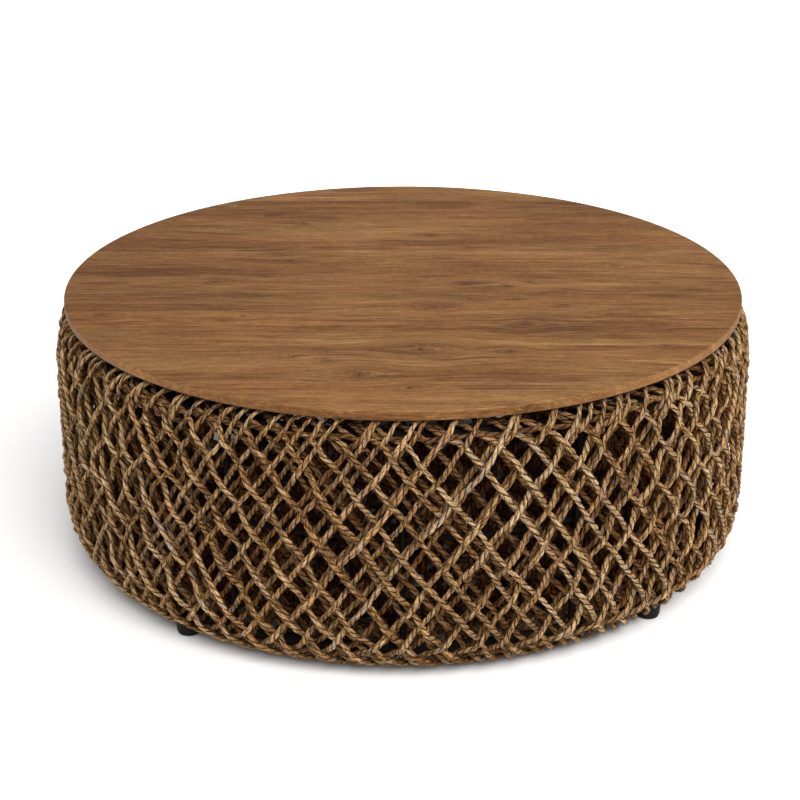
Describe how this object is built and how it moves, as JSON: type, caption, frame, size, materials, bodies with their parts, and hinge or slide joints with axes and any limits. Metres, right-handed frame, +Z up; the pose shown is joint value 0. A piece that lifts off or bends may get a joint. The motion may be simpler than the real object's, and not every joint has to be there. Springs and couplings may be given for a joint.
{
  "type": "round drum coffee table",
  "caption": "Low round coffee table: a solid wooden disc top on a drum of diagonally wound twisted plant-fibre rope over a steel frame, on small round feet.",
  "frame": {"origin": "on the floor under the centre of the table", "axes": "+Z up out of the top; X along the grain of the boards; Y across the boards"},
  "size_m": [0.988, 0.988, 0.38],
  "materials": {
    "teak_board": "oiled, fine straight grain, satin",
    "fibre_rope": "twisted two-ply plant fibre, matt, streaked",
    "frame_steel": "dark powder coat, satin",
    "screw_steel": "zinc plated",
    "foot_plastic": "black, moulded, fine texture"
  },
  "bodies": {
    "root": {"top_board_1": "teak_board", "top_board_2": "teak_board", "top_board_3": "teak_board", "top_board_4": "teak_board", "top_board_5": "teak_board", "top_board_6": "teak_board", "top_board_7": "teak_board", "top_board_8": "teak_board", "top_ring": "frame_steel", "middle_hoop": "frame_steel", "bottom_ring": "frame_steel", "left_rail": "frame_steel", "right_rail": "frame_steel", "upright_01": "frame_steel", "upright_02": "frame_steel", "upright_03": "frame_steel", "upright_04": "frame_steel", "upright_05": "frame_steel", "upright_06": "frame_steel", "upright_07": "frame_steel", "upright_08": "frame_steel", "upright_09": "frame_steel", "upright_10": "frame_steel", "upright_11": "frame_steel", "upright_12": "frame_steel", "top_screw_1": "screw_steel", "top_screw_2": "screw_steel", "top_screw_3": "screw_steel", "top_screw_4": "screw_steel", "top_screw_5": "screw_steel", "top_screw_6": "screw_steel", "top_screw_7": "screw_steel", "top_screw_8": "screw_steel", "foot_1": "foot_plastic", "foot_screw_1": "screw_steel", "foot_2": "foot_plastic", "foot_screw_2": "screw_steel", "foot_3": "foot_plastic", "foot_screw_3": "screw_steel", "foot_4": "foot_plastic", "foot_screw_4": "screw_steel", "outer_rope_left_lean": "fibre_rope", "outer_rope_right_lean": "fibre_rope", "middle_rope_left_lean": "fibre_rope", "middle_rope_right_lean": "fibre_rope", "inner_rope_pass": "fibre_rope", "shoulder_twine_row": "fibre_rope", "shoulder_rope_wrap": "fibre_rope", "bottom_rope_rim": "fibre_rope"}
  },
  "joints": []
}
